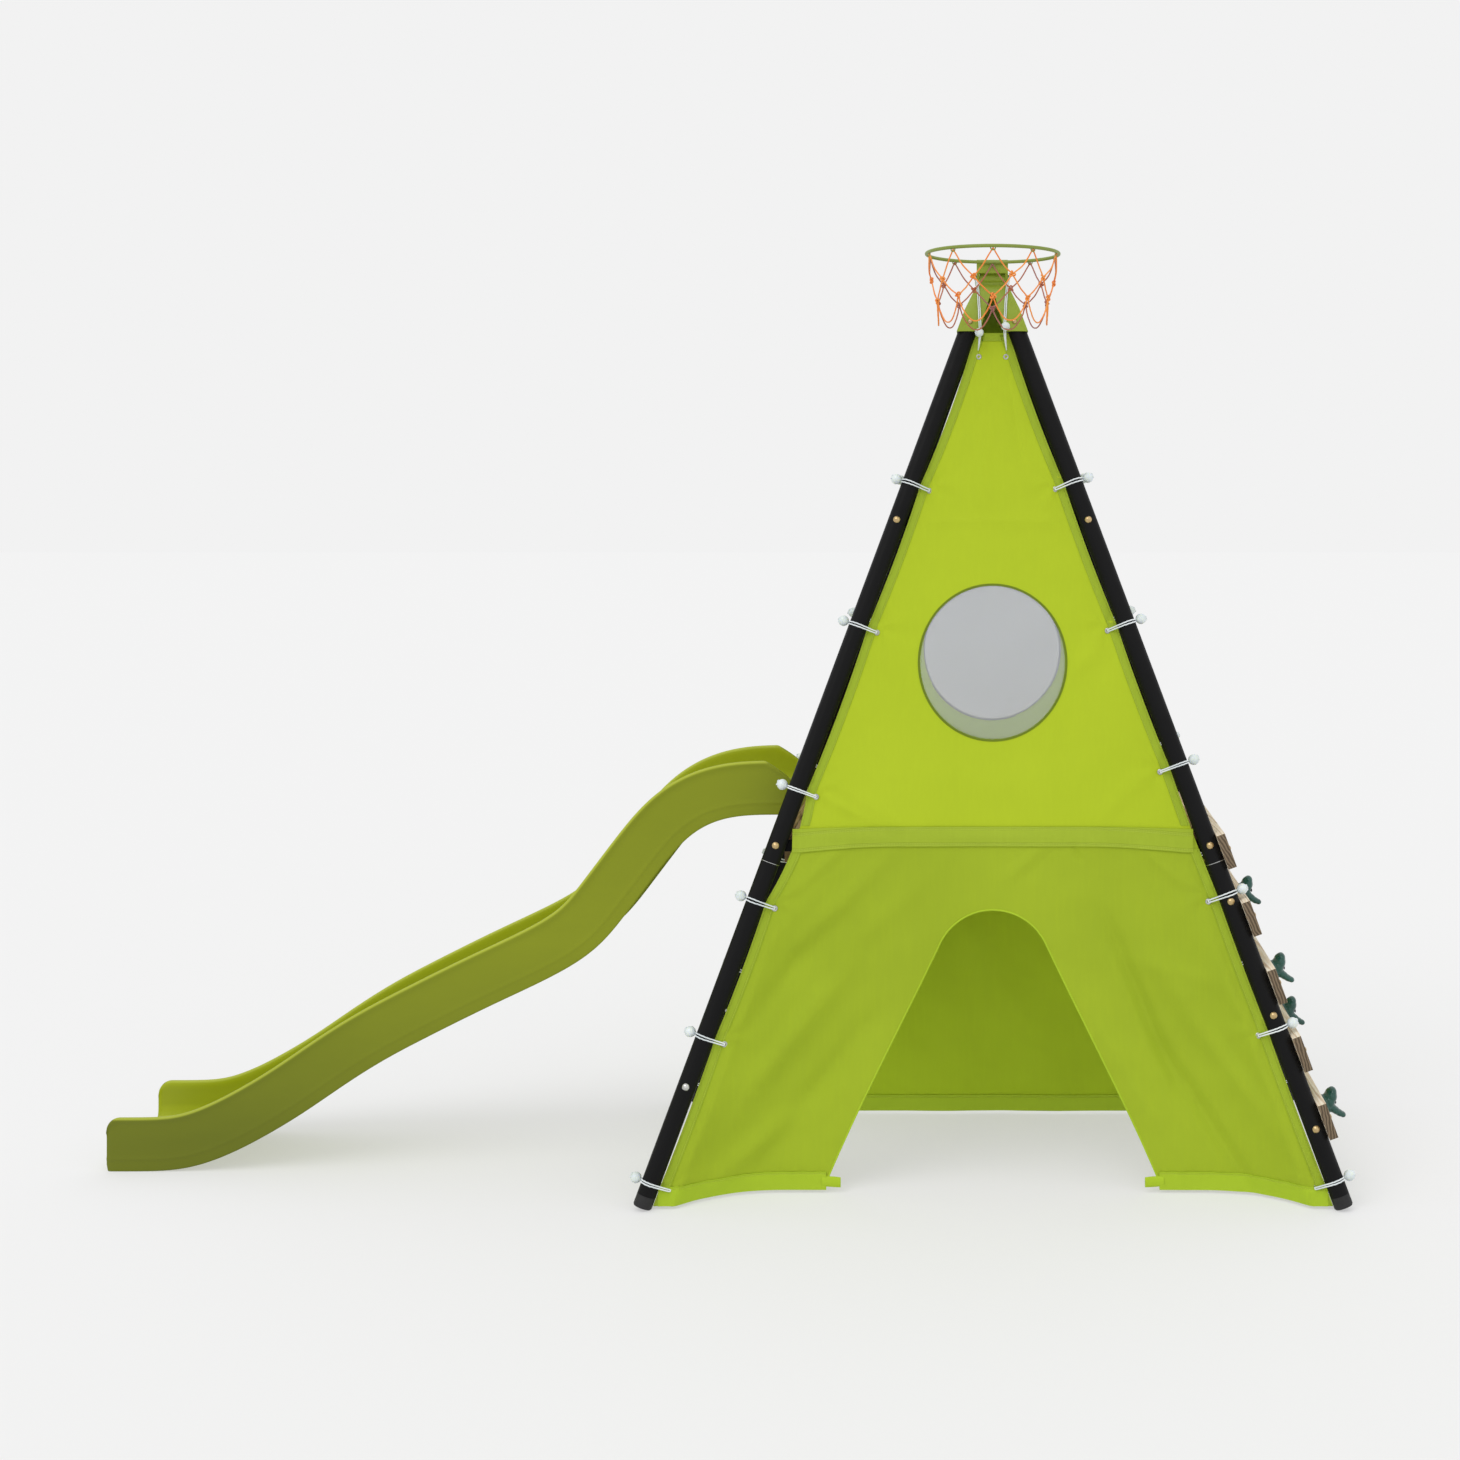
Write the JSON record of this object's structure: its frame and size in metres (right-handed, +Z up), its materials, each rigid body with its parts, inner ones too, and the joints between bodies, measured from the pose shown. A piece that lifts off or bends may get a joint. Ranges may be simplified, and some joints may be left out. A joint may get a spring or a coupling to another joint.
{
  "type": "tepee climbing frame",
  "caption": "Four-legged tepee climbing frame with a platform, a wave slide, a slatted climbing side, tied fabric covers with a doorway and windows, and a netted hoop on top.",
  "frame": {"origin": "on the ground under the middle of the whole object's box", "axes": "+X along the slide from its exit towards the climbing side, -Y towards the front with the doorway and the hoop, +Z up"},
  "size_m": [3.2305, 0.9238, 2.407],
  "materials": {
    "frame_steel": "satin black powder coat",
    "foot_plastic": "matt moulded cap",
    "green_steel": "satin lime powder coat",
    "gold_bolts": "yellow zinc plated",
    "dark_steel": "black oxide",
    "deck_wood": "planed softwood",
    "slat_wood": "planed softwood",
    "hold_plastic": "glossy moulded",
    "slide_plastic": "satin blow-moulded polyethylene",
    "cover_fabric": "coated woven polyester",
    "window_film": "clear film",
    "eyelet_metal": "nickel plated",
    "tie_cord": "braided elastic",
    "tie_ball": "moulded ball",
    "net_cord": "twisted polypropylene cord"
  },
  "bodies": {
    "frame": {"leg_lower_front_left": "frame_steel", "leg_lower_front_right": "frame_steel", "leg_lower_back_left": "frame_steel", "leg_lower_back_right": "frame_steel", "leg_upper_front_left": "frame_steel", "leg_upper_front_right": "frame_steel", "leg_upper_back_left": "frame_steel", "leg_upper_back_right": "frame_steel", "foot_caps": "foot_plastic", "apex_cap": "green_steel", "cap_bolts": "gold_bolts", "leg_bolts": "gold_bolts", "leg_nuts": "dark_steel", "platform_crossbar_front": "frame_steel", "platform_crossbar_back": "frame_steel", "upper_crossbar_front": "frame_steel", "upper_crossbar_back": "frame_steel", "platform_rim_left": "deck_wood", "platform_rim_right": "deck_wood", "deck_screws": "gold_bolts", "deck_board_1": "deck_wood", "deck_board_2": "deck_wood", "deck_board_3": "deck_wood", "deck_board_4": "deck_wood", "deck_board_5": "deck_wood", "deck_board_6": "deck_wood", "deck_board_7": "deck_wood", "climbing_slat_1": "slat_wood", "climbing_slat_2": "slat_wood", "climbing_slat_3": "slat_wood", "climbing_slat_4": "slat_wood", "climbing_slat_5": "slat_wood", "slat_bolts": "gold_bolts", "climbing_holds": "hold_plastic", "hold_bolts": "dark_steel", "slide": "slide_plastic", "slide_bolts": "gold_bolts", "front_cover_upper": "cover_fabric", "front_cover_lower": "cover_fabric", "front_seam_band": "cover_fabric", "front_window_film": "window_film", "front_window_binding": "cover_fabric", "front_eyelets": "eyelet_metal", "front_tie_loops": "tie_cord", "front_tie_balls": "tie_ball", "back_cover_upper": "cover_fabric", "back_cover_lower": "cover_fabric", "back_seam_band": "cover_fabric", "back_window_film": "window_film", "back_window_binding": "cover_fabric", "back_eyelets": "eyelet_metal", "back_tie_loops": "tie_cord", "back_tie_balls": "tie_ball", "hoop_pivot_bolt": "dark_steel"},
    "hoop": {"hoop_ring": "green_steel", "hoop_bracket": "green_steel", "net_hooks": "green_steel", "net": "net_cord"}
  },
  "joints": [
    {"name": "hoop_tilt", "type": "hinge", "parent": "frame", "child": "hoop", "pos_m": [0.7118, -0.034, 2.363], "axis": [-1, 0, 0], "range_deg": [0, 80]}
  ]
}
